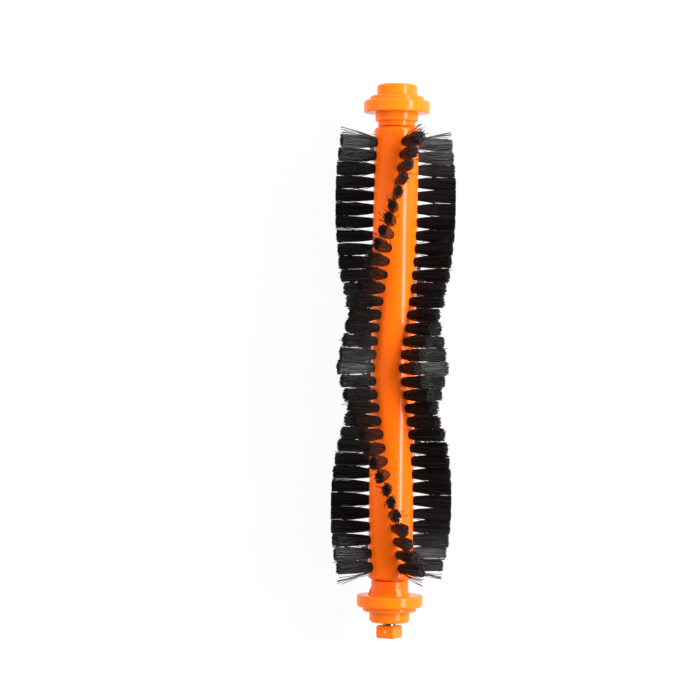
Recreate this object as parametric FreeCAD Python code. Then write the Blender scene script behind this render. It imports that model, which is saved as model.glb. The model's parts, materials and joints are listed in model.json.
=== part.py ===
import FreeCAD, Part
import math
import os

# Roller brush of a robot vacuum, lying on its bristles. All sizes are in millimetres.
# The roller turns about a line along Y. Its idle end is at +Y and its square drive at -Y.
# X is measured from the roller's axis, Y from mid-length and Z from the floor.
# Angles round the roller are in degrees, from straight up towards +X.

# Core, one moulding with a journal at each end
CORE_DIAMETER = 14.0
CORE_LENGTH = 142.05
CORE_EDGE_RADIUS = 1.15
CORE_WEB = 1.1               # plastic left between the floors of neighbouring tuft holes
JOURNAL_DIAMETER = 8.7
JOURNAL_EDGE_RADIUS = 0.3
JOURNAL_RECESS = 0.4         # drive journal's end, inside the mouth of its bush
BEAD_HEIGHT = 0.25           # snap bead that keeps a bearing on its journal
BEAD_LENGTH = 0.8

# Bristle tufts, folded over wire staples
BRUSH_DIAMETER = 38.0        # across the trimmed tips
BRISTLE_SETTLE = 0.3         # how far the lowest tips flatten under the brush
ROW_COUNT = 4
TUFT_PITCH = 4.16
TUFT_ROOT_WIDTH = 2.4        # across the flats of a bundle, in its hole
TUFT_TIP_WIDTH = 2.9         # round the roller, at the tips
TUFT_TIP_GAP = 0.15          # along the roller, between the tips of neighbours
FIRST_TUFT_INSET = 4.9       # idle end of the core to the first tuft
LAST_TUFT_INSET = 3.0        # least distance of the last tuft from the drive end of the core
V_TIP_INSET = 75.7           # idle end of the core to the tip of each row's V
V_TIP_ANGLE = -66.0          # of the first row, at the tip of its V
IDLE_ROW_SWEEP = 88.5        # turn of a row from the tip of its V to the idle end
DRIVE_ROW_SWEEP = 95.0       # turn of a row from the tip of its V to the drive end
STAPLE_THICKNESS = 0.35
STAPLE_HEIGHT = 1.5
STAPLE_BITE = 0.2            # how far each end of a staple bites into the wall of its hole
FOLD_THICKNESS = 0.6         # bristles folded under a staple

# Bearings, each a collar pressed into a flanged piece
COLLAR_WALL = 1.5
COLLAR_SEAT = 2.0            # depth of a collar's seat, from the inner face of the flange
COLLAR_EDGE_RADIUS = 0.2
KNOB_WALL = 1.95
RING_LEDGE = 2.15            # ring beyond the knob
FLANGE_LEDGE = 1.9           # flange beyond the ring
KNOB_EDGE_RADIUS = 1.05
RING_EDGE_RADIUS = 0.95
FLANGE_EDGE_RADIUS = 0.85
FLANGE_INNER_EDGE_RADIUS = 0.45
MOUTH_CHAMFER = 0.25

# Idle cap, closed at its end
IDLE_GROOVE = 1.9            # collar that shows between the core and the skirt
SKIRT_LENGTH = 2.65
SKIRT_WALL = 0.85
SKIRT_EDGE_RADIUS = 0.3
IDLE_FLANGE_THICKNESS = 3.9
IDLE_RING_HEIGHT = 1.4
IDLE_KNOB_HEIGHT = 3.65
IDLE_END_WALL = 1.3

# Drive bush, open at its end, with snap fingers in notches of its collar
DRIVE_NECK_LENGTH = 4.85     # between the core and the flange
DRIVE_LIP_LENGTH = 0.6       # raised lip of the flange, round the collar
DRIVE_LIP_WALL = 0.4
DRIVE_FLANGE_THICKNESS = 3.8
DRIVE_RING_HEIGHT = 1.45
DRIVE_KNOB_HEIGHT = 3.4
FINGER_COUNT = 3
FINGER_ANGLE = 24.5
FINGER_WIDTH = 1.7
FINGER_LENGTH = 2.4
FINGER_RISE = 0.85           # finger's height above the collar, at the flange
FINGER_ROOT = 0.6            # finger's length inside the flange
NOTCH_DEPTH = 0.7

# Drive pin, and the square block pressed on it
PIN_DIAMETER = 4.0
PIN_FLAT = 0.5               # depth of the flat along the pin
PIN_ROOT = 1.5               # pin inside the core, beyond the core's end face
PIN_SHOWING = 0.9            # gap between the drive knob and the block
PIN_GRIP = 2.9               # pin inside the block
BLOCK_WALL = 1.2
BLOCK_LENGTH = 4.05
BLOCK_CORNER_ANGLE = 16.0
BLOCK_EDGE_RADIUS = 0.7
GATE_MARK_DIAMETER = 0.9
GATE_MARK_DEPTH = 0.2

# Clearances
RUNNING_CLEARANCE = 0.05     # radial, of a journal in its bearing
SEAT_CLEARANCE = 0.02        # radial, of a pressed piece in its seat
TUFT_CLEARANCE = 0.05        # between the corners of a bundle and the wall of its hole
END_GAP = 0.3                # axial, between the roller and a bearing
BEAD_PLAY = 0.15             # between a snap bead and its recess
FINGER_GAP = 0.12            # between a finger and its notch

# Shape constants
CORNER_SHARE = 0.49          # most of an outline's side that the rounding of one corner may use
OCTAGON_CUT = 2.0 - math.sqrt(2.0)
OCTAGON_HALF_ANGLE = math.pi / 8.0
SQUARE_CORNER_ANGLE = 45.0
FULL_TURN = 360.0
CUT_OVERRUN = 1.0            # how far a cutting shape reaches past what it cuts

# Radii worked out from the sizes above
core_radius = CORE_DIAMETER / 2
brush_radius = BRUSH_DIAMETER / 2
journal_radius = JOURNAL_DIAMETER / 2
bead_radius = journal_radius + BEAD_HEIGHT
recess_radius = bead_radius + BEAD_PLAY
bore_radius = journal_radius + RUNNING_CLEARANCE
collar_radius = bore_radius + COLLAR_WALL
seat_radius = collar_radius + SEAT_CLEARANCE
skirt_radius = seat_radius + SKIRT_WALL
lip_radius = seat_radius + DRIVE_LIP_WALL
knob_radius = bore_radius + KNOB_WALL
ring_radius = knob_radius + RING_LEDGE
flange_radius = ring_radius + FLANGE_LEDGE
pin_radius = PIN_DIAMETER / 2
block_width = PIN_DIAMETER + 2 * BLOCK_WALL
tuft_root_half = TUFT_ROOT_WIDTH / 2
tuft_hole_radius = tuft_root_half / math.cos(OCTAGON_HALF_ANGLE) + TUFT_CLEARANCE
tuft_floor_radius = tuft_hole_radius / math.tan(math.pi / ROW_COUNT) + CORE_WEB

# Distances outward from the end faces of the core
idle_flange_start = IDLE_GROOVE + SKIRT_LENGTH
idle_ring_start = idle_flange_start + IDLE_FLANGE_THICKNESS
idle_knob_start = idle_ring_start + IDLE_RING_HEIGHT
idle_end = idle_knob_start + IDLE_KNOB_HEIGHT
idle_bore_end = idle_end - IDLE_END_WALL
idle_journal_end = idle_bore_end - END_GAP
drive_flange_start = DRIVE_NECK_LENGTH
drive_lip_start = drive_flange_start - DRIVE_LIP_LENGTH
drive_ring_start = drive_flange_start + DRIVE_FLANGE_THICKNESS
drive_knob_start = drive_ring_start + DRIVE_RING_HEIGHT
drive_knob_end = drive_knob_start + DRIVE_KNOB_HEIGHT
drive_journal_end = drive_knob_end - JOURNAL_RECESS
block_start = drive_knob_end + PIN_SHOWING
block_end = block_start + BLOCK_LENGTH
overall_length = idle_end + CORE_LENGTH + block_end
axis_height = brush_radius - BRISTLE_SETTLE

AXIS_DIRECTION = FreeCAD.Vector(0, 1, 0)
axis_point = FreeCAD.Vector(0, 0, axis_height)


class RollerEnd:
    """One end of the core: the place of its end face, and the way outward from it."""

    def __init__(self, face, outward, flange_start):
        self.face = face
        self.outward = outward
        self.flange_start = flange_start
        self.collar_end = flange_start + COLLAR_SEAT
        self.bead_start = self.collar_end + BEAD_PLAY
        self.bead_end = self.bead_start + BEAD_LENGTH
        self.recess_end = self.bead_end + BEAD_PLAY

    def place(self, distance):
        """Y of a point at a distance outward from the core's end face."""
        return self.face + self.outward * distance

    def corners(self, outline):
        """Corners along Y from corners given by their distance outward."""
        return [(self.place(distance), radius, rounding) for distance, radius, rounding in outline]


idle = RollerEnd(overall_length / 2 - idle_end, 1, idle_flange_start)
drive = RollerEnd(idle.face - CORE_LENGTH, -1, drive_flange_start)


# Shapes that several pieces share


def outline_edges(corners):
    """Edges of a closed outline beside the axis, with arcs at its rounded corners.

    Each corner is its place along Y, its radius from the axis and its rounding.
    """
    points = [axis_point + FreeCAD.Vector(radius, along, 0) for along, radius, rounding in corners]
    stretches = []
    for index, point in enumerate(points):
        rounding = corners[index][2]
        if not rounding:
            stretches.append([point])
            continue
        before = points[index - 1] - point
        after = points[(index + 1) % len(points)] - point
        longest = CORNER_SHARE * min(before.Length, after.Length)
        before.normalize()
        after.normalize()
        half_angle = before.getAngle(after) / 2
        tangent = min(rounding / math.tan(half_angle), longest)
        bisector = (before + after).normalize()
        to_centre = tangent / math.cos(half_angle)
        to_arc = to_centre - tangent * math.tan(half_angle)
        stretches.append([point + before * tangent, point + bisector * to_arc, point + after * tangent])
    edges = []
    for index, stretch in enumerate(stretches):
        if len(stretch) > 1:
            edges.append(Part.Arc(*stretch).toShape())
        edges.append(Part.makeLine(stretch[-1], stretches[(index + 1) % len(stretches)][0]))
    return edges


def turned(corners):
    """Solid of revolution about the roller's axis."""
    face = Part.Face(Part.Wire(outline_edges(corners)))
    return face.revolve(axis_point, AXIS_DIRECTION, FULL_TURN)


def on_roller(shape, angle, along):
    """Copy of a shape, modelled upright about the origin, set at an angle and a place on the roller."""
    copy = shape.copy()
    turn = FreeCAD.Rotation(AXIS_DIRECTION, angle)
    copy.Placement = FreeCAD.Placement(FreeCAD.Vector(0, along, axis_height), turn)
    return copy


def centred_box(width, length, low, high, middle=0):
    """Box with its width along X, about the axis, and its length along Y, about a middle."""
    corner = FreeCAD.Vector(-width / 2, middle - length / 2, low)
    return Part.makeBox(width, length, high - low, corner)


def flatted_bar(radius, flat_distance, start, end):
    """Round bar on the axis between two places along Y, with a flat along its lower side."""
    low = min(start, end)
    length = abs(end - start)
    bar = Part.makeCylinder(radius, length, axis_point + AXIS_DIRECTION * low, AXIS_DIRECTION)
    below = axis_height - 2 * radius
    flat = centred_box(2 * radius, length, below, axis_height - flat_distance, low + length / 2)
    return bar.cut(flat)


# Bristle tufts and their staples


def octagon(half_width, half_length, height):
    """Corners of a level octagon about the Z axis, its slanted sides at 45 degrees."""
    cut = min(half_width, half_length) * OCTAGON_CUT
    long_side = half_length - cut
    wide_side = half_width - cut
    corners = [(half_width, -long_side), (half_width, long_side), (wide_side, half_length)]
    corners += [(-wide_side, half_length), (-half_width, long_side), (-half_width, -long_side)]
    corners += [(-wide_side, -half_length), (wide_side, -half_length)]
    return [FreeCAD.Vector(across, along, height) for across, along in corners]


def flat_face(points):
    """Flat face with these corners."""
    return Part.Face(Part.makePolygon(points + points[:1]))


def staple():
    """Flat wire staple, across the roller, where it lies in an upright tuft."""
    width = 2 * (tuft_hole_radius + STAPLE_BITE)
    low = tuft_floor_radius + FOLD_THICKNESS
    return centred_box(width, STAPLE_THICKNESS, low, low + STAPLE_HEIGHT)


def tuft():
    """Upright bundle: straight in its hole, flared to its trimmed tip, with a slot for its staple."""
    tip_half_length = (TUFT_PITCH - TUFT_TIP_GAP) / 2
    rings = [octagon(tuft_root_half, tuft_root_half, tuft_floor_radius)]
    rings.append(octagon(tuft_root_half, tuft_root_half, core_radius))
    rings.append(octagon(TUFT_TIP_WIDTH / 2, tip_half_length, brush_radius))
    faces = [flat_face(rings[0][::-1]), flat_face(rings[-1])]
    for lower, upper in zip(rings, rings[1:]):
        for index in range(len(lower)):
            nearer = index - 1
            faces.append(flat_face([lower[nearer], lower[index], upper[index], upper[nearer]]))
    return Part.makeSolid(Part.makeShell(faces)).cut(staple())


def tuft_hole():
    """Shape that cuts an upright tuft's hole, and the bites of its staple, from the core."""
    depth = core_radius + CUT_OVERRUN - tuft_floor_radius
    hole = Part.makeCylinder(tuft_hole_radius, depth, FreeCAD.Vector(0, 0, tuft_floor_radius))
    return hole.fuse(staple())


station_count = int((CORE_LENGTH - FIRST_TUFT_INSET - LAST_TUFT_INSET) / TUFT_PITCH) + 1
v_tip_station = round((V_TIP_INSET - FIRST_TUFT_INSET) / TUFT_PITCH)


def station_place(station):
    """Y of a ring of tufts, counted from the idle end."""
    return idle.face - FIRST_TUFT_INSET - station * TUFT_PITCH


def row_angle(row, station):
    """Angle of a row at a station: rows turn back from the tip of their V towards both ends."""
    from_tip = station - v_tip_station
    if from_tip > 0:
        back = DRIVE_ROW_SWEEP * from_tip / (station_count - 1 - v_tip_station)
    else:
        back = IDLE_ROW_SWEEP * -from_tip / v_tip_station
    return V_TIP_ANGLE + row * FULL_TURN / ROW_COUNT + back


def spread_on_row(shape, row, stations):
    """Copies of an upright shape at these stations of a row."""
    return [on_roller(shape, row_angle(row, station), station_place(station)) for station in stations]


def flattened_on_floor(solid):
    """Solid with what would reach below the floor cut away."""
    if solid.BoundBox.ZMin >= 0:
        return solid
    below = centred_box(2 * BRUSH_DIAMETER, 2 * overall_length, -BRUSH_DIAMETER, 0)
    return solid.cut(below).Solids[0]


# Roller


def journal_outline(end, journal_end):
    """Outline of a journal with its snap bead, from the axis in to the core's end face."""
    bead_top = end.bead_end - BEAD_HEIGHT
    return end.corners([
        (journal_end, 0, 0),
        (journal_end, journal_radius, JOURNAL_EDGE_RADIUS),
        (end.bead_end, journal_radius, 0),
        (bead_top, bead_radius, 0),
        (end.bead_start, bead_radius, 0),
        (end.bead_start, journal_radius, 0),
        (0, journal_radius, 0),
        (0, core_radius, CORE_EDGE_RADIUS),
    ])


def pin_bar(clearance):
    """Drive pin, from inside the core to inside the block, widened by a clearance."""
    start = drive.place(-PIN_ROOT)
    end = drive.place(block_start + PIN_GRIP)
    return flatted_bar(pin_radius + clearance, pin_radius - PIN_FLAT + clearance, start, end)


def roller_core():
    """Core with its journals, its tuft holes and the socket of the drive pin."""
    outline = journal_outline(idle, idle_journal_end)
    outline += reversed(journal_outline(drive, drive_journal_end))
    cuts = [pin_bar(SEAT_CLEARANCE)]
    hole = tuft_hole()
    for row in range(ROW_COUNT):
        cuts += spread_on_row(hole, row, range(station_count))
    return turned(outline).cut(cuts)


def drive_block():
    """Square block on the pin, with rounded edges and the mould's gate mark on one side."""
    block = centred_box(block_width, BLOCK_LENGTH, -block_width / 2, block_width / 2)
    block = block.makeFillet(BLOCK_EDGE_RADIUS, block.Edges)
    gate_floor = FreeCAD.Vector(0, 0, block_width / 2 - GATE_MARK_DEPTH)
    block = block.cut(Part.makeCylinder(GATE_MARK_DIAMETER / 2, CUT_OVERRUN, gate_floor))
    middle = drive.place(block_start + BLOCK_LENGTH / 2)
    placed = on_roller(block, BLOCK_CORNER_ANGLE - SQUARE_CORNER_ANGLE, middle)
    return placed.cut(pin_bar(SEAT_CLEARANCE))


# Bearings


def collar(end):
    """Neck of a bearing, which runs on the journal and is pressed into the flanged piece."""
    return turned(end.corners([
        (END_GAP, bore_radius, 0),
        (END_GAP, collar_radius, COLLAR_EDGE_RADIUS),
        (end.collar_end, collar_radius, COLLAR_EDGE_RADIUS),
        (end.collar_end, bore_radius, 0),
    ]))


def flange_outline(end, ring_start, knob_start, knob_end):
    """Outside of a flanged piece, from the inner edge of its flange to the edge of its knob."""
    return end.corners([
        (end.flange_start, flange_radius, FLANGE_INNER_EDGE_RADIUS),
        (ring_start, flange_radius, FLANGE_EDGE_RADIUS),
        (ring_start, ring_radius, 0),
        (knob_start, ring_radius, RING_EDGE_RADIUS),
        (knob_start, knob_radius, 0),
        (knob_end, knob_radius, KNOB_EDGE_RADIUS),
    ])


def socket_outline(end, mouth):
    """Inside of a flanged piece: bore, recess of the bead, seat of the collar, and mouth."""
    return end.corners([
        (end.recess_end, bore_radius, 0),
        (end.recess_end, recess_radius, 0),
        (end.collar_end, recess_radius, 0),
        (end.collar_end, seat_radius, 0),
        (mouth + MOUTH_CHAMFER, seat_radius, 0),
        (mouth, seat_radius + MOUTH_CHAMFER, 0),
    ])


def idle_cap():
    """Closed cap: skirt over the collar, flange, ring and knob."""
    skirt = idle.corners([
        (IDLE_GROOVE, skirt_radius, SKIRT_EDGE_RADIUS),
        (idle_flange_start, skirt_radius, 0),
    ])
    closed_end = idle.corners([
        (idle_end, 0, 0),
        (idle_bore_end, 0, 0),
        (idle_bore_end, bore_radius, 0),
    ])
    outside = flange_outline(idle, idle_ring_start, idle_knob_start, idle_end)
    return turned(skirt + outside + closed_end + socket_outline(idle, IDLE_GROOVE))


def finger_angles():
    """Angles of the snap fingers round the roller."""
    return [FINGER_ANGLE + index * FULL_TURN / FINGER_COUNT for index in range(FINGER_COUNT)]


def finger():
    """Upright snap finger: level with the collar at its tip, and rising towards the flange."""
    floor = collar_radius - NOTCH_DEPTH + FINGER_GAP
    tip = drive.outward * (drive_flange_start - FINGER_LENGTH)
    face = drive.outward * drive_flange_start
    root = drive.outward * (drive_flange_start + FINGER_ROOT)
    top = collar_radius + FINGER_RISE
    side = [(tip, floor), (tip, collar_radius), (face, top), (root, top), (root, floor)]
    profile = flat_face([FreeCAD.Vector(-FINGER_WIDTH / 2, along, height) for along, height in side])
    return profile.extrude(FreeCAD.Vector(FINGER_WIDTH, 0, 0))


def notch():
    """Upright shape that cuts a finger's notch from the collar."""
    width = FINGER_WIDTH + 2 * FINGER_GAP
    length = FINGER_LENGTH + FINGER_ROOT + 2 * FINGER_GAP
    middle = drive.outward * (drive_flange_start + (FINGER_ROOT - FINGER_LENGTH) / 2)
    return centred_box(width, length, collar_radius - NOTCH_DEPTH, collar_radius + CUT_OVERRUN, middle)


def drive_bush():
    """Open bush: lip, flange, ring and knob, with the snap fingers that hold its collar."""
    lip = drive.corners([(drive_lip_start, lip_radius, 0), (drive_flange_start, lip_radius, 0)])
    outside = flange_outline(drive, drive_ring_start, drive_knob_start, drive_knob_end)
    mouth = drive.corners([(drive_knob_end, bore_radius, 0)])
    bush = turned(lip + outside + mouth + socket_outline(drive, drive_lip_start))
    fingers = [on_roller(finger(), angle, drive.face) for angle in finger_angles()]
    return bush.fuse(fingers).removeSplitter()


def drive_collar():
    """Collar of the drive end, with its notches."""
    return collar(drive).cut([on_roller(notch(), angle, drive.face) for angle in finger_angles()])


# Every piece in its own file


def pieces():
    """Each piece, or group of like pieces, with its name."""
    yield "roller_core", roller_core()
    yield "drive_pin", pin_bar(0)
    yield "drive_block", drive_block()
    yield "idle_cap", idle_cap()
    yield "idle_collar", collar(idle)
    yield "drive_bush", drive_bush()
    yield "drive_collar", drive_collar()
    sides = {"idle": range(v_tip_station), "drive": range(v_tip_station, station_count)}
    for row in range(ROW_COUNT):
        for side, stations in sides.items():
            tufts = [flattened_on_floor(solid) for solid in spread_on_row(tuft(), row, stations)]
            yield f"bristle_row_{row + 1}_{side}", Part.makeCompound(tufts)
            yield f"staples_row_{row + 1}_{side}", Part.makeCompound(spread_on_row(staple(), row, stations))


os.makedirs("parts", exist_ok=True)
for name, shape in pieces():
    shape.exportStep(os.path.join("parts", name + ".step"))
    print(f"{name}: {len(shape.Solids)} solids, {shape.Volume:.1f} cubic mm, valid {shape.isValid()}")
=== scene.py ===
"""Looks of a robot vacuum's roller brush, dressed round its CAD solids in the same frame.

Lengths are in metres and angles in degrees, unless a name says otherwise. The roller's axis
runs along Y, with the idle end at +Y and the square drive at -Y. Angles round the roller go
from straight up towards +X.
"""

from __future__ import annotations

import json
import logging
import math
from dataclasses import dataclass
from enum import Enum

import bpy
import numpy as np
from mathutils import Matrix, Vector

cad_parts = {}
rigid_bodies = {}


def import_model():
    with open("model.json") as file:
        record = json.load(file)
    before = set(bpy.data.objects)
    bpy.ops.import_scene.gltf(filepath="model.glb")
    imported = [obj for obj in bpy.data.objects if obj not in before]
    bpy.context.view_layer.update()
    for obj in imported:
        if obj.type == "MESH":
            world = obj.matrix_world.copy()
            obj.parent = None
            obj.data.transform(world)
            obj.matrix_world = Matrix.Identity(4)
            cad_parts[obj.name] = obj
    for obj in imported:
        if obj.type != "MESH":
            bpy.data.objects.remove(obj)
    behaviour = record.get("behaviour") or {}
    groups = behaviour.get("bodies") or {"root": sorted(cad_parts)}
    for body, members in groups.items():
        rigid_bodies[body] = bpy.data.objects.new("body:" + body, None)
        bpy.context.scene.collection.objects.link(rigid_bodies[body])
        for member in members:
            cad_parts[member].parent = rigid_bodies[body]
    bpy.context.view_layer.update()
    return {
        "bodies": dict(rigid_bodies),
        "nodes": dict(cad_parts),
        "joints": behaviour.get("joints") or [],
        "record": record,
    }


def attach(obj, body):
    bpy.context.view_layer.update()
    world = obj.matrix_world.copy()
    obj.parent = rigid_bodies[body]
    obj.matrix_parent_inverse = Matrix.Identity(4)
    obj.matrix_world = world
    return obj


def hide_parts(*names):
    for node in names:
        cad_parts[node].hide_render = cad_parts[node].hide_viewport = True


log = logging.getLogger("roller_brush")

Colour = tuple[float, float, float]
Lean = tuple[float, float]  # across a tuft and along the roller

MM = 0.001
ROLLER_BODY = "roller"
GOLDEN_ANGLE = math.pi * (3.0 - math.sqrt(5.0))


class Side(Enum):
    """Half of the roller, on either side of the tip of the V in each bristle row."""

    IDLE = "idle"
    DRIVE = "drive"


class Slot(Enum):
    """Material slots of the record, which this script gives to no piece."""

    PLASTIC = "orange_plastic"
    BRISTLE = "black_bristle"


def deselect_all() -> None:
    """Leave object mode with nothing selected."""
    if bpy.context.object and bpy.context.object.mode != "OBJECT":
        bpy.ops.object.mode_set(mode="OBJECT")
    bpy.ops.object.select_all(action="DESELECT")


class NodeBoard:
    """Node tree of a material, a group or the world, with short ways to add and join nodes."""

    def __init__(self, tree: bpy.types.NodeTree) -> None:
        """Keep the tree that is built."""
        self.tree = tree

    def add(self, kind: str, inputs: dict | None = None, **settings: object) -> bpy.types.Node:
        """Add a node.

        Args:
            kind: Blender's type name of the node.
            inputs: Values or source sockets for the node's inputs, by name or index.
            settings: Properties of the node.

        Returns:
            The new node.
        """
        node = self.tree.nodes.new(kind)
        for key, value in settings.items():
            setattr(node, key, value)
        for key, value in (inputs or {}).items():
            self.feed(node.inputs[key], value)
        return node

    def feed(self, socket: bpy.types.NodeSocket, value: object) -> None:
        """Join a source socket to an input, or set the input's own value.

        Args:
            socket: Input of a node.
            value: Source socket, or the value.
        """
        if isinstance(value, bpy.types.NodeSocket):
            self.tree.links.new(value, socket)
        else:
            socket.default_value = value

    def math(self, operation: str, first: object, second: object = 0.0) -> bpy.types.NodeSocket:
        """Result of a Math node on two values or sockets."""
        return self.add("ShaderNodeMath", {0: first, 1: second}, operation=operation).outputs[0]

    def blend(self, share: object, low: object, high: object) -> bpy.types.NodeSocket:
        """Blend two colours.

        Args:
            share: Share of the second colour, from 0 to 1.
            low: First colour.
            high: Second colour.

        Returns:
            The colour between them.
        """
        node = self.add("ShaderNodeMix", data_type="RGBA")
        for name, value in (("Factor_Float", share), ("A_Color", low), ("B_Color", high)):
            socket = next(s for s in node.inputs if s.identifier == name)
            self.feed(socket, value)
        return next(s for s in node.outputs if s.identifier == "Result_Color")

    def remap(self, value: object, low: object, high: object) -> bpy.types.NodeSocket:
        """Value from 0 to 1, spread between two limits."""
        inputs = {"Value": value, "To Min": low, "To Max": high}
        return self.add("ShaderNodeMapRange", inputs).outputs["Result"]

    def noise(self, vector: object, scale: object, detail: float) -> bpy.types.NodeSocket:
        """Noise from 0 to 1, with a scale in waves per metre."""
        inputs = {"Vector": vector, "Scale": scale, "Detail": detail}
        return self.add("ShaderNodeTexNoise", inputs).outputs[0]


def rgba(colour: Colour) -> tuple[float, float, float, float]:
    """Opaque colour for a colour socket."""
    return (*colour, 1.0)


def new_material(name: str) -> tuple[bpy.types.Material, NodeBoard, bpy.types.Node]:
    """Start a material.

    Args:
        name: Name of the material.

    Returns:
        The material, its board and its Principled shader, already joined to the output.
    """
    material = bpy.data.materials.new(name)
    material.use_nodes = True
    board = NodeBoard(material.node_tree)
    material.node_tree.nodes.clear()
    shader = board.add("ShaderNodeBsdfPrincipled")
    board.add("ShaderNodeOutputMaterial", {"Surface": shader.outputs[0]})
    return material, board, shader


class MouldSkin:
    """Shared effect of moulded plastic: a broad mottle and the fine ripple of the mould's skin."""

    GROUP_NAME = "mould_skin"
    MOTTLE_DETAIL = 3.0
    RIPPLE_DETAIL = 2.0

    @classmethod
    def tree(cls) -> bpy.types.NodeTree:
        """Node group of the effect, built at its first use."""
        made = bpy.data.node_groups.get(cls.GROUP_NAME)
        return made or cls.build()

    @classmethod
    def build(cls) -> bpy.types.NodeTree:
        """Build the node group.

        Returns:
            The group, with inputs Vector, Mottle Scale and Ripple Scale and outputs Mottle and Ripple.
        """
        tree = bpy.data.node_groups.new(cls.GROUP_NAME, "ShaderNodeTree")
        tree.interface.new_socket("Vector", in_out="INPUT", socket_type="NodeSocketVector")
        for name in ("Mottle Scale", "Ripple Scale"):
            tree.interface.new_socket(name, in_out="INPUT", socket_type="NodeSocketFloat")
        for name in ("Mottle", "Ripple"):
            tree.interface.new_socket(name, in_out="OUTPUT", socket_type="NodeSocketFloat")
        board = NodeBoard(tree)
        given = board.add("NodeGroupInput").outputs
        mottle = board.noise(given["Vector"], given["Mottle Scale"], cls.MOTTLE_DETAIL)
        ripple = board.noise(given["Vector"], given["Ripple Scale"], cls.RIPPLE_DETAIL)
        board.add("NodeGroupOutput", {"Mottle": mottle, "Ripple": ripple})
        return tree


@dataclass(frozen=True)
class MouldedPlastic:
    """Glossy through-coloured plastic, straight from a polished mould."""

    name: str
    colour: Colour
    deep_colour: Colour
    mottle_scale: float = 90.0
    ripple_scale: float = 900.0
    roughness_range: tuple[float, float] = (0.17, 0.25)
    reflectance: float = 0.2
    ripple_height: float = 0.00001
    ripple_strength: float = 0.12

    def material(self) -> bpy.types.Material:
        """Build the finish, with mottled colour and gloss over a rippled skin.

        Returns:
            The material.
        """
        material, board, shader = new_material(self.name)
        place = board.add("ShaderNodeTexCoord").outputs["Object"]
        inputs = {"Vector": place, "Mottle Scale": self.mottle_scale, "Ripple Scale": self.ripple_scale}
        skin = board.add("ShaderNodeGroup", inputs, node_tree=MouldSkin.tree()).outputs
        mottle, ripple = skin["Mottle"], skin["Ripple"]
        tone = board.blend(mottle, rgba(self.deep_colour), rgba(self.colour))
        relief = {"Height": ripple, "Strength": self.ripple_strength, "Distance": self.ripple_height}
        bump = board.add("ShaderNodeBump", relief)
        board.feed(shader.inputs["Base Color"], tone)
        board.feed(shader.inputs["Roughness"], board.remap(mottle, *self.roughness_range))
        board.feed(shader.inputs["Normal"], bump.outputs["Normal"])
        shader.inputs["Specular IOR Level"].default_value = self.reflectance
        return material


@dataclass(frozen=True)
class BristleNylon:
    """Black nylon of the filaments, each strand a little different.

    The strands are dull at their cut ends, and shine less where they stand close, near the core.
    """

    name: str = "bristle_nylon"
    colour: Colour = (0.004, 0.0031, 0.003)
    pale_colour: Colour = (0.014, 0.011, 0.0105)
    roughness_range: tuple[float, float] = (0.28, 0.31)
    cut_roughness: float = 0.6
    root_roughness: float = 0.38
    reflectance: float = 0.34
    streak_scale: float = 700.0
    streak_detail: float = 2.0
    streak_range: tuple[float, float] = (0.5, 1.5)

    def material(self) -> bpy.types.Material:
        """Build the finish from the strands' own values and a fine streak.

        Returns:
            The material.
        """
        material, board, shader = new_material(self.name)
        tone, rise, cut = (
            board.add("ShaderNodeAttribute", attribute_name=name).outputs["Fac"]
            for name in (Filament.TONE, Filament.RISE, Filament.CUT)
        )
        place = board.add("ShaderNodeTexCoord").outputs["Object"]
        streak = board.noise(place, self.streak_scale, self.streak_detail)
        share = board.math("MULTIPLY", tone, board.remap(streak, *self.streak_range))
        colour = board.blend(share, rgba(self.colour), rgba(self.pale_colour))
        at_cut = board.math("MULTIPLY", cut, self.cut_roughness)
        at_root = board.remap(rise, self.root_roughness, 0.0)
        dulled = board.math("MAXIMUM", at_cut, at_root)
        roughness = board.math("MAXIMUM", board.remap(streak, *self.roughness_range), dulled)
        board.feed(shader.inputs["Base Color"], colour)
        board.feed(shader.inputs["Roughness"], roughness)
        shader.inputs["Specular IOR Level"].default_value = self.reflectance
        return material


@dataclass(frozen=True)
class TurnedSteel:
    """Bright steel with fine turning marks round the roller's axis."""

    name: str = "turned_steel"
    colour: Colour = (0.34, 0.33, 0.32)
    dark_colour: Colour = (0.18, 0.175, 0.17)
    mark_scale: float = 3500.0
    mark_detail: float = 3.0
    mark_squeeze: float = 0.05
    roughness_range: tuple[float, float] = (0.24, 0.4)
    mark_height: float = 0.000004
    mark_strength: float = 0.3

    def material(self) -> bpy.types.Material:
        """Build the finish, its marks stretched across the axis.

        Returns:
            The material.
        """
        material, board, shader = new_material(self.name)
        place = board.add("ShaderNodeTexCoord").outputs["Object"]
        scale = (self.mark_squeeze, 1.0, self.mark_squeeze)
        along = board.add("ShaderNodeMapping", {"Vector": place, "Scale": scale}).outputs["Vector"]
        marks = board.noise(along, self.mark_scale, self.mark_detail)
        tone = board.blend(marks, rgba(self.dark_colour), rgba(self.colour))
        relief = {"Height": marks, "Strength": self.mark_strength, "Distance": self.mark_height}
        bump = board.add("ShaderNodeBump", relief)
        board.feed(shader.inputs["Base Color"], tone)
        board.feed(shader.inputs["Roughness"], board.remap(marks, *self.roughness_range))
        board.feed(shader.inputs["Normal"], bump.outputs["Normal"])
        shader.inputs["Metallic"].default_value = 1.0
        return material


ROLLER_PLASTIC = MouldedPlastic(
    "roller_plastic", colour=(0.98, 0.14, 0.002), deep_colour=(0.95, 0.128, 0.0015)
)
# Lighter, yellower copy of the roller's orange for the flanged pieces and the square block: partly a
# separate moulding's own shade, partly painted light where the flanges and knobs catch more of the lamps.
BEARING_PLASTIC_AND_PAINTED_LIGHT = MouldedPlastic(
    "bearing_plastic_and_painted_light", colour=(0.97, 0.184, 0.007), deep_colour=(0.94, 0.172, 0.0055), reflectance=0.16
)
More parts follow.
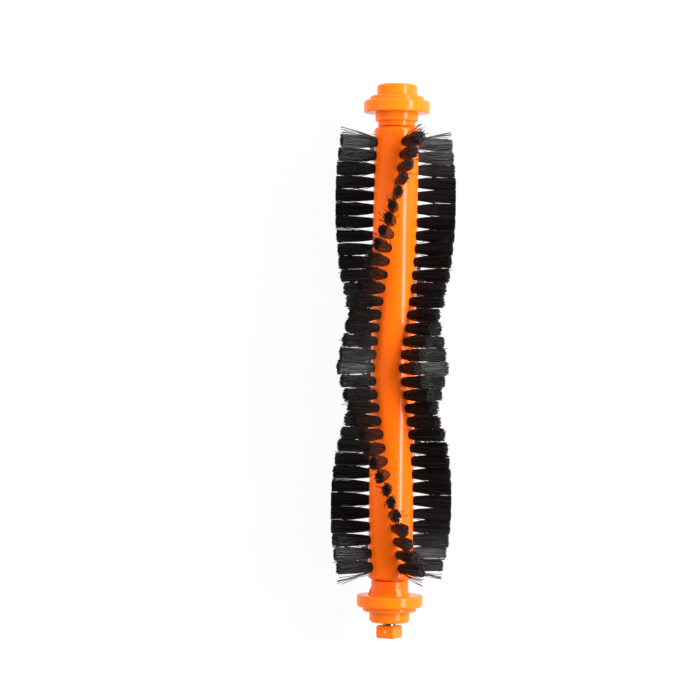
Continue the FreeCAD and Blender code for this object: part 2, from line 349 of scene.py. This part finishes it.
# Pale orange of the gate mark: partly whitened plastic at the gate, partly a painted highlight in its
# dimple.
GATE_PLASTIC_AND_PAINTED_HIGHLIGHT = MouldedPlastic(
    "gate_plastic_and_painted_highlight", colour=(0.95, 0.52, 0.27), deep_colour=(0.92, 0.44, 0.18), mottle_scale=900.0
)


@dataclass(frozen=True)
class RollerLayout:
    """Where the tufts stand on the roller, as the CAD solids have them."""

    axis_height: float
    core_radius: float = 7.0 * MM
    brush_radius: float = 19.0 * MM
    core_idle_face: float = 73.5 * MM
    first_tuft_inset: float = 4.9 * MM
    tuft_pitch: float = 4.16 * MM
    station_count: int = 33
    tip_station: int = 17
    row_count: int = 4
    tip_angle: float = -66.0
    idle_sweep: float = 88.5
    drive_sweep: float = 95.0

    @classmethod
    def from_frame(cls, frame: dict) -> RollerLayout:
        """Layout about the axis of the frame's first bearing joint."""
        return cls(axis_height=frame["joints"][0]["pos_m"][2])

    def stations(self, side: Side) -> range:
        """Stations of half a row, counted from the idle end."""
        return range(self.tip_station) if side is Side.IDLE else range(self.tip_station, self.station_count)

    def place(self, station: int) -> float:
        """Y of a station."""
        return self.core_idle_face - self.first_tuft_inset - station * self.tuft_pitch

    def angle(self, row: int, station: int) -> float:
        """Work out where round the roller a row stands at a station.

        Args:
            row: Number of the row, from 0.
            station: Place in the row.

        Returns:
            Angle in radians.
        """
        from_tip = station - self.tip_station
        if from_tip > 0:
            back = self.drive_sweep * from_tip / (self.station_count - 1 - self.tip_station)
        else:
            back = self.idle_sweep * -from_tip / self.tip_station
        return math.radians(self.tip_angle + 360.0 * row / self.row_count + back)

    def outward_end(self, station: int) -> int:
        """Way along Y off the end of the row, for its first and last tuft, and 0 between them."""
        return {0: 1, self.station_count - 1: -1}.get(station, 0)


@dataclass
class Filament:
    """One bristle, modelled upright at a height of 1, of which every bristle is a bent copy.

    Its section is a square, so that all its faces have four corners.
    """

    radius: float = 0.105 * MM
    sides: int = 4
    segments: int = 4

    TONE = "strand_tone"
    RISE = "strand_rise"
    CUT = "strand_cut"
    CUT_TILT = 0.5  # least rise of the normal of a cut end

    def __post_init__(self) -> None:
        """Model the bristle and keep its points and faces."""
        strand = self.model()
        mesh = strand.data
        self.points = np.array([vertex.co for vertex in mesh.vertices])
        self.faces = np.array([list(polygon.vertices) for polygon in mesh.polygons])
        self.round_side = np.array([abs(polygon.normal.z) < self.CUT_TILT for polygon in mesh.polygons])
        bpy.data.objects.remove(strand)
        bpy.data.meshes.remove(mesh)

    def model(self) -> bpy.types.Object:
        """Model the bristle from a filled circle that is extruded in equal steps.

        Returns:
            The upright bristle, closed at both ends.
        """
        deselect_all()
        bpy.ops.mesh.primitive_circle_add(vertices=self.sides, radius=self.radius, fill_type="NGON")
        bpy.ops.object.mode_set(mode="EDIT")
        bpy.ops.mesh.select_all(action="SELECT")
        step = {"value": (0.0, 0.0, 1.0 / self.segments)}
        for _ in range(self.segments):
            bpy.ops.mesh.extrude_region_move(TRANSFORM_OT_translate=step)
        bpy.ops.mesh.select_all(action="SELECT")
        bpy.ops.mesh.normals_make_consistent(inside=False)
        bpy.ops.object.mode_set(mode="OBJECT")
        return bpy.context.object


@dataclass
class Tuft:
    """Bundle of bristles, straight in its hole and flared from the core to its trimmed tip."""

    count: int = 190
    root_depth: float = 1.4 * MM
    root_radius: float = 1.16 * MM
    tip_half_width: float = 1.45 * MM
    tip_half_length: float = 1.95 * MM
    size_scatter: float = 0.06
    flare_power: float = 5.0
    shine_power: float = 1.6
    tone_power: float = 2.0
    bow: float = 0.12 * MM
    trim_scatter: float = 0.19 * MM
    tuft_lean: Lean = (1.1, 0.5)
    strand_lean: Lean = (0.8, 1.15)
    end_lean: float = 0.8
    stray_share: float = 0.06
    stray_lean: float = 6.0
    most_lean: float = 14.0
    stray_bow: float = 0.25 * MM
    stray_short: float = 1.4 * MM
    end_strays: int = 7
    end_stray_lean: tuple[float, float] = (2.0, 13.0)

    def climb(self, layout: RollerLayout, heights: np.ndarray) -> np.ndarray:
        """Rise above the core's surface, from 0 in the hole to 1 at the tip.

        Args:
            layout: Sizes of the roller.
            heights: Heights from 0 to 1 along the whole of a bristle.

        Returns:
            Rise at each height.
        """
        mouth = self.root_depth / (self.root_depth + layout.brush_radius - layout.core_radius)
        return np.clip((heights - mouth) / (1.0 - mouth), 0.0, 1.0)

    def paths(
        self,
        layout: RollerLayout,
        outward: int,
        comb: Lean,
        heights: np.ndarray,
        dice: np.random.Generator,
    ) -> np.ndarray:
        """Lay out the bristles of one upright tuft.

        Args:
            layout: Sizes of the roller.
            outward: Way along Y off the end of the row, or 0 inside the row.
            comb: Lean of the whole tuft, across it and along the roller.
            heights: Heights from 0 to 1 at which the paths are wanted.
            dice: Source of the scatter.

        Returns:
            Points by bristle and height: across the tuft, along the roller and out from the axis.
        """
        index = np.arange(self.count)
        reach = np.sqrt((index + 0.5) / self.count)
        turn = index * GOLDEN_ANGLE + dice.uniform(0.0, math.tau)
        disc = np.stack([reach * np.cos(turn), reach * np.sin(turn)], axis=1)
        length = layout.brush_radius - layout.core_radius

        spread = disc * (self.tip_half_width, self.tip_half_length) * dice.normal(1.0, self.size_scatter, 2)
        lean = dice.normal(comb, self.tuft_lean) + dice.normal(0.0, self.strand_lean, disc.shape)
        lean[:, 1] += outward * self.end_lean
        bow = dice.normal(0.0, self.bow, disc.shape)
        trim = np.abs(dice.normal(0.0, self.trim_scatter, self.count))
        stray = dice.random(self.count) < self.stray_share
        lean[stray] += dice.normal(0.0, self.stray_lean, (stray.sum(), 2))
        bow[stray] += dice.normal(0.0, self.stray_bow, (stray.sum(), 2))
        trim[stray] += dice.uniform(0.0, self.stray_short, stray.sum())
        if outward:
            edge = np.argsort(-outward * disc[:, 1])[: self.end_strays]
            lean[edge, 1] += outward * dice.uniform(*self.end_stray_lean, self.end_strays)
        lean = np.clip(lean, -self.most_lean, self.most_lean)

        climb = self.climb(layout, heights)[None, :, None]
        flare = 1.0 - (1.0 - climb) ** self.flare_power
        root = disc * self.root_radius
        drift = length * np.tan(np.radians(lean))
        offset = root[:, None, :] + (spread - root)[:, None, :] * flare
        offset = offset + drift[:, None, :] * climb + bow[:, None, :] * np.sin(math.pi * climb)
        top = np.sqrt((layout.brush_radius - trim) ** 2 - (spread + drift)[:, 0] ** 2)
        bottom = layout.core_radius - self.root_depth
        out = bottom + (top - bottom)[:, None] * heights[None, :]
        return np.concatenate([offset, out[:, :, None]], axis=2)


@dataclass
class BristleRow:
    """Half of a bristle row: its tufts, made of single filaments with a lean combed into them.

    The lean grows from none at the tip of the V to its whole over as many stations as comb_ramp says.
    """

    layout: RollerLayout
    filament: Filament
    tuft: Tuft
    row: int
    side: Side
    comb: Lean
    comb_ramp: int = 8
    floor_clearance: float = 0.02 * MM

    @property
    def label(self) -> str:
        """Row number and side, as the CAD nodes are named."""
        return f"row_{self.row + 1}_{self.side.value}"

    def tuft_points(self, station: int, dice: np.random.Generator) -> np.ndarray:
        """Points of all bristles of the tuft at a station, on the roller.

        Args:
            station: Place of the tuft in its row.
            dice: Source of the scatter.

        Returns:
            Points by bristle and filament vertex.
        """
        strand = self.filament.points
        outward = self.layout.outward_end(station)
        share = min(1.0, abs(station - self.layout.tip_station) / self.comb_ramp)
        comb = (share * self.comb[0], share * self.comb[1])
        paths = self.tuft.paths(self.layout, outward, comb, strand[:, 2], dice)
        across = paths[:, :, 0] + strand[None, :, 0]
        along = paths[:, :, 1] + strand[None, :, 1]
        out = paths[:, :, 2]
        angle = self.layout.angle(self.row, station)
        x = out * math.sin(angle) + across * math.cos(angle)
        z = out * math.cos(angle) - across * math.sin(angle) + self.layout.axis_height
        z = np.maximum(z, self.floor_clearance)
        return np.stack([x, along + self.layout.place(station), z], axis=2)

    def build(self, dice: np.random.Generator) -> bpy.types.Object:
        """Copy the filament into every place of this half row.

        Args:
            dice: Source of the scatter and of the strands' tones.

        Returns:
            The piece, which rides on the roller in place of its plain CAD tufts.
        """
        strands = np.concatenate([self.tuft_points(s, dice) for s in self.layout.stations(self.side)])
        per_strand = len(self.filament.points)
        starts = np.arange(len(strands))[:, None, None] * per_strand
        faces = (self.filament.faces[None] + starts).reshape(-1, self.filament.sides)
        mesh = bpy.data.meshes.new(f"bristles_{self.label}")
        mesh.from_pydata(strands.reshape(-1, 3).tolist(), [], faces.tolist())
        smooth = np.tile(self.filament.round_side, len(strands))
        self.round_sides(mesh, smooth)
        tone = dice.random(len(strands)) ** self.tuft.tone_power
        rise = self.tuft.climb(self.layout, self.filament.points[:, 2]) ** self.tuft.shine_power
        self.note(mesh, Filament.TONE, "POINT", np.repeat(tone, per_strand))
        self.note(mesh, Filament.RISE, "POINT", np.tile(rise, len(strands)))
        self.note(mesh, Filament.CUT, "FACE", ~smooth)
        piece = bpy.data.objects.new(f"bristles_{self.label}", mesh)
        bpy.context.scene.collection.objects.link(piece)
        return piece

    def note(self, mesh: bpy.types.Mesh, name: str, domain: str, values: np.ndarray) -> None:
        """Keep a value for each point or face of the mesh, for the finish to read."""
        attribute = mesh.attributes.new(name, "FLOAT", domain)
        attribute.data.foreach_set("value", values.astype(np.float32))

    def round_sides(self, mesh: bpy.types.Mesh, smooth: np.ndarray) -> None:
        """Shade the sides of the bristles round, up to the sharp edges of their cut ends.

        Args:
            mesh: Mesh of the piece, all of whose faces have as many corners as a bristle has sides.
            smooth: Whether each face is one of the sides.
        """
        edges = np.zeros(len(mesh.loops), dtype=np.int32)
        mesh.loops.foreach_get("edge_index", edges)
        sharp = np.zeros(len(mesh.edges), dtype=bool)
        sharp[edges.reshape(-1, self.filament.sides)[~smooth]] = True
        mesh.polygons.foreach_set("use_smooth", smooth)
        mesh.edges.foreach_set("use_edge_sharp", sharp)

    def dress(self, piece: bpy.types.Object, nylon: bpy.types.Material) -> None:
        """Give the piece its finish and its place in the frame.

        Args:
            piece: Bristles of this half row.
            nylon: Their finish.
        """
        piece.data.materials.append(nylon)
        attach(piece, ROLLER_BODY)
        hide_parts(f"bristle_{self.label}")
        log.info("%s: %d faces", piece.name, len(piece.data.polygons))


@dataclass
class CadPiece:
    """CAD node that is shown as it is, with a finish of its own."""

    name: str
    finish: bpy.types.Material

    def dress(self, nodes: dict[str, bpy.types.Object]) -> None:
        """Give the node its finish.

        Args:
            nodes: CAD nodes by name.
        """
        node = nodes[self.name]
        node.data.materials.clear()
        node.data.materials.append(self.finish)
        log.info("%s: %s", self.name, self.finish.name)


@dataclass
class GateMark:
    """Pale stub that the mould's gate left, in its dimple on one side of the square block. Its pale colour
    is partly whitened plastic and partly a painted highlight.
    """

    block: bpy.types.Object
    side_angle: float = -29.0
    dimple_height: float = 3.0 * MM
    diameter: float = 0.84 * MM
    flatness: float = 0.55
    segments: int = 20
    sharp_angle: float = 40.0

    def build(self) -> bpy.types.Object:
        """Model a flattened dome and seat it in the dimple.

        Returns:
            The stub, closed underneath.
        """
        deselect_all()
        bpy.ops.mesh.primitive_uv_sphere_add(
            segments=self.segments, ring_count=self.segments // 2, radius=self.diameter / 2
        )
        stub = bpy.context.object
        stub.name = "block_gate_mark"
        bpy.ops.object.mode_set(mode="EDIT")
        bpy.ops.mesh.select_all(action="SELECT")
        bpy.ops.mesh.bisect(
            plane_co=(0.0, 0.0, 0.0), plane_no=(0.0, 0.0, 1.0), clear_inner=True, use_fill=True
        )
        bpy.ops.mesh.select_all(action="SELECT")
        bpy.ops.transform.resize(value=(1.0, 1.0, self.flatness))
        bpy.ops.object.mode_set(mode="OBJECT")
        turn = math.radians(self.side_angle)
        corners = [Vector(corner) for corner in self.block.bound_box]
        middle = sum(corners, Vector()) / len(corners)
        stub.location = middle + self.dimple_height * Vector((math.sin(turn), 0.0, math.cos(turn)))
        stub.rotation_euler = (0.0, turn, 0.0)
        bpy.ops.object.transform_apply()
        bpy.ops.object.shade_smooth_by_angle(angle=math.radians(self.sharp_angle))
        return stub

    def dress(self, stub: bpy.types.Object, plastic: bpy.types.Material) -> None:
        """Give the stub its finish and its place in the frame.

        Args:
            stub: The modelled stub.
            plastic: Its finish.
        """
        stub.data.materials.append(plastic)
        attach(stub, ROLLER_BODY)
        log.info("%s: %d faces", stub.name, len(stub.data.polygons))


@dataclass
class Roller:
    """Turning part of the brush: core, pin, square block with its gate mark, staples and bristles."""

    layout: RollerLayout
    nodes: dict[str, bpy.types.Object]
    combed_row: int = 0
    idle_comb: Lean = (0.0, 3.3)
    drive_comb: Lean = (2.6, 0.0)
    upright: Lean = (0.0, 0.0)
    seed: int = 41

    def dress(self, core: bpy.types.Material, block: bpy.types.Material, steel: bpy.types.Material) -> None:
        """Give the core, block, pin and staples their finishes.

        Args:
            core: Finish of the core.
            block: Finish of the square block.
            steel: Finish of the pin and the staples.
        """
        CadPiece("roller_core", core).dress(self.nodes)
        CadPiece("drive_block", block).dress(self.nodes)
        staples = sorted(name for name in self.nodes if name.startswith("staples"))
        for name in ["drive_pin", *staples]:
            CadPiece(name, steel).dress(self.nodes)

    def build_gate_mark(self, plastic: bpy.types.Material) -> None:
        """Build and dress the gate mark on the block."""
        mark = GateMark(self.nodes["drive_block"])
        mark.dress(mark.build(), plastic)

    def comb(self, row: int, side: Side) -> Lean:
        """Lean that use has combed into half a row.

        Args:
            row: Number of the row, from 0.
            side: Half of the row.

        Returns:
            Lean across the tufts and along the roller.
        """
        if row != self.combed_row:
            return self.upright
        return self.idle_comb if side is Side.IDLE else self.drive_comb

    def build_bristles(self, nylon: bpy.types.Material) -> None:
        """Build and dress every half row of bristles.

        Args:
            nylon: Finish of the bristles.
        """
        dice = np.random.default_rng(self.seed)
        filament = Filament()
        for row in range(self.layout.row_count):
            for side in Side:
                bristles = BristleRow(self.layout, filament, Tuft(), row, side, self.comb(row, side))
                bristles.dress(bristles.build(dice), nylon)


@dataclass
class Bearing:
    """Flanged piece and collar that stay still while the roller turns."""

    flanged_piece: str
    collar: str

    def dress(
        self, nodes: dict[str, bpy.types.Object], flange: bpy.types.Material, collar: bpy.types.Material
    ) -> None:
        """Give each piece its finish."""
        CadPiece(self.flanged_piece, flange).dress(nodes)
        CadPiece(self.collar, collar).dress(nodes)


@dataclass(frozen=True)
class Softbox:
    """Rectangular studio lamp beside the roller, in line with it and shifted towards its idle end."""

    name: str
    angle: float
    distance: float
    width: float
    length: float
    watts: float
    idle_shift: float
    in_reflections: bool = True

    def build(self, centre: Vector) -> None:
        """Hang the lamp at its angle about the roller's axis, facing the axis.

        Args:
            centre: Middle of the roller, on its axis.
        """
        lamp = bpy.data.lights.new(self.name, "AREA")
        lamp.shape = "RECTANGLE"
        lamp.size = self.width
        lamp.size_y = self.length
        lamp.energy = self.watts
        holder = bpy.data.objects.new(self.name, lamp)
        turn = math.radians(self.angle)
        holder.location = centre + self.distance * Vector((math.sin(turn), 0.0, math.cos(turn)))
        holder.location.y += self.idle_shift
        holder.rotation_euler = (0.0, turn, 0.0)
        holder.visible_camera = False
        holder.visible_glossy = self.in_reflections
        bpy.context.scene.collection.objects.link(holder)


@dataclass
class Studio:
    """White floor and surround, and the lamps."""

    centre: Vector
    floor_side: float = 6.0
    floor_colour: Colour = (0.95, 0.95, 0.95)
    grain_scale: float = 400.0
    grain_detail: float = 2.0
    grain_roughness: tuple[float, float] = (0.75, 0.85)
    floor_lift: float = 0.92
    white_from: float = 1.5
    surround_colour: Colour = (1.0, 1.0, 1.0)
    horizon_strength: float = 1.0
    ceiling_strength: float = 0.35
    ceiling_in_gloss: float = 0.12
    ceiling_height: float = 0.65
    lamps: tuple[Softbox, ...] = (
        Softbox(
            "key_softbox", angle=48.0, distance=0.6, width=0.12, length=0.9, watts=9.6, idle_shift=0.28
        ),
        Softbox(
            "fill_softbox", angle=-50.0, distance=0.7, width=0.6, length=0.9, watts=4.2, idle_shift=0.4,
            in_reflections=False,
        ),
    )

    def seen_rays(self, board: NodeBoard) -> bpy.types.NodeSocket:
        """Tell apart the rays that show the white surround: camera, gloss and transmission.

        Args:
            board: Board of the floor's material.

        Returns:
            Mask of those rays.
        """
        rays = board.add("ShaderNodeLightPath").outputs
        seen = board.math("MAXIMUM", rays["Is Camera Ray"], rays["Is Glossy Ray"])
        return board.math("MAXIMUM", seen, rays["Is Transmission Ray"])

    def build_floor(self) -> None:
        """Lay a white floor that keeps the brush's shadow, and fades to plain white far from it."""
        deselect_all()
        bpy.ops.mesh.primitive_plane_add(size=self.floor_side)
        floor = bpy.context.object
        floor.name = "floor"
        material, board, shader = new_material("floor_paper")
        place = board.add("ShaderNodeTexCoord").outputs["Object"]
        grain = board.noise(place, self.grain_scale, self.grain_detail)
        shader.inputs["Base Color"].default_value = rgba(self.floor_colour)
        board.feed(shader.inputs["Roughness"], board.remap(grain, *self.grain_roughness))
        glow = board.add("ShaderNodeEmission", {"Color": rgba(self.surround_colour)})
        reach = board.add("ShaderNodeVectorMath", {0: place}, operation="LENGTH").outputs["Value"]
        lift = board.remap(board.math("DIVIDE", reach, self.white_from), self.floor_lift, 1.0)
        share = board.math("MULTIPLY", self.seen_rays(board), lift)
        mixed = board.add("ShaderNodeMixShader", {0: share, 1: shader.outputs[0], 2: glow.outputs[0]})
        output = next(n for n in board.tree.nodes if n.type == "OUTPUT_MATERIAL")
        board.feed(output.inputs["Surface"], mixed.outputs[0])
        floor.data.materials.append(material)

    def build_surround(self) -> None:
        """Light the scene from white walls under a darker ceiling, all plain white to the camera."""
        world = bpy.data.worlds.new("white_surround")
        bpy.context.scene.world = world
        world.use_nodes = True
        world.node_tree.nodes.clear()
        board = NodeBoard(world.node_tree)
        way = board.add("ShaderNodeTexCoord").outputs["Generated"]
        height = board.add("ShaderNodeSeparateXYZ", {"Vector": way}).outputs["Z"]
        climb = board.math("DIVIDE", height, self.ceiling_height)
        rays = board.add("ShaderNodeLightPath").outputs
        ceiling = board.remap(rays["Is Glossy Ray"], self.ceiling_strength, self.ceiling_in_gloss)
        strength = board.remap(climb, self.horizon_strength, ceiling)
        strength = board.math("MAXIMUM", strength, rays["Is Camera Ray"])
        background = board.add("ShaderNodeBackground", {"Color": rgba(self.surround_colour)})
        board.feed(background.inputs["Strength"], strength)
        board.add("ShaderNodeOutputWorld", {"Surface": background.outputs[0]})

    def build(self) -> None:
        """Build the floor, the surround and the lamps."""
        self.build_floor()
        self.build_surround()
        for lamp in self.lamps:
            lamp.build(self.centre)
        log.info("studio: %d lamps", len(self.lamps))


@dataclass(frozen=True)
class ProductCamera:
    """Camera straight above the brush, which stands upright in the picture."""

    distance: float = 0.8
    sensor_mm: float = 36.0
    image_side: int = 700
    pixels_per_metre: float = 3179.0
    roller_pixel: tuple[float, float] = (393.2, 361.3)
    roll: float = 0.86

    def build(self, centre: Vector) -> None:
        """Set the camera so that the roller's middle falls on its pixel.

        Args:
            centre: Middle of the roller, on its axis.
        """
        data = bpy.data.cameras.new("product_camera")
        data.sensor_width = self.sensor_mm
        data.lens = self.sensor_mm * self.distance * self.pixels_per_metre / self.image_side
        camera = bpy.data.objects.new("product_camera", data)
        turn = math.radians(self.roll)
        right = Vector((math.cos(turn), math.sin(turn), 0.0))
        up = Vector((-math.sin(turn), math.cos(turn), 0.0))
        across = (self.roller_pixel[0] - self.image_side / 2) / self.pixels_per_metre
        down = (self.roller_pixel[1] - self.image_side / 2) / self.pixels_per_metre
        camera.location = centre - across * right + down * up + Vector((0.0, 0.0, self.distance))
        camera.rotation_euler = (0.0, 0.0, turn)
        bpy.context.scene.collection.objects.link(camera)
        bpy.context.scene.camera = camera
        log.info("camera: lens %.1f mm", data.lens)


def main() -> None:
    """Load the frame, dress it, build the bristles, and set up the studio and the camera."""
    logging.basicConfig(level=logging.INFO, format="%(name)s: %(message)s")
    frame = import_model()
    layout = RollerLayout.from_frame(frame)
    centre = Vector((0.0, 0.0, layout.axis_height))
    bpy.context.scene.view_settings.view_transform = "Standard"

    core_plastic = ROLLER_PLASTIC.material()
    bearing_plastic_and_painted_light = BEARING_PLASTIC_AND_PAINTED_LIGHT.material()
    gate_plastic_and_painted_highlight = GATE_PLASTIC_AND_PAINTED_HIGHLIGHT.material()
    nylon = BristleNylon().material()
    steel = TurnedSteel().material()

    roller = Roller(layout, frame["nodes"])
    roller.dress(core_plastic, bearing_plastic_and_painted_light, steel)
    roller.build_gate_mark(gate_plastic_and_painted_highlight)
    roller.build_bristles(nylon)
    # The collars wear the roller's redder orange, which is partly painted shade under the flanges.
    Bearing("idle_cap", "idle_collar").dress(frame["nodes"], bearing_plastic_and_painted_light, core_plastic)
    Bearing("drive_bush", "drive_collar").dress(frame["nodes"], bearing_plastic_and_painted_light, core_plastic)
    Studio(centre).build()
    ProductCamera().build(centre)


if __name__ == "__main__":
    main()
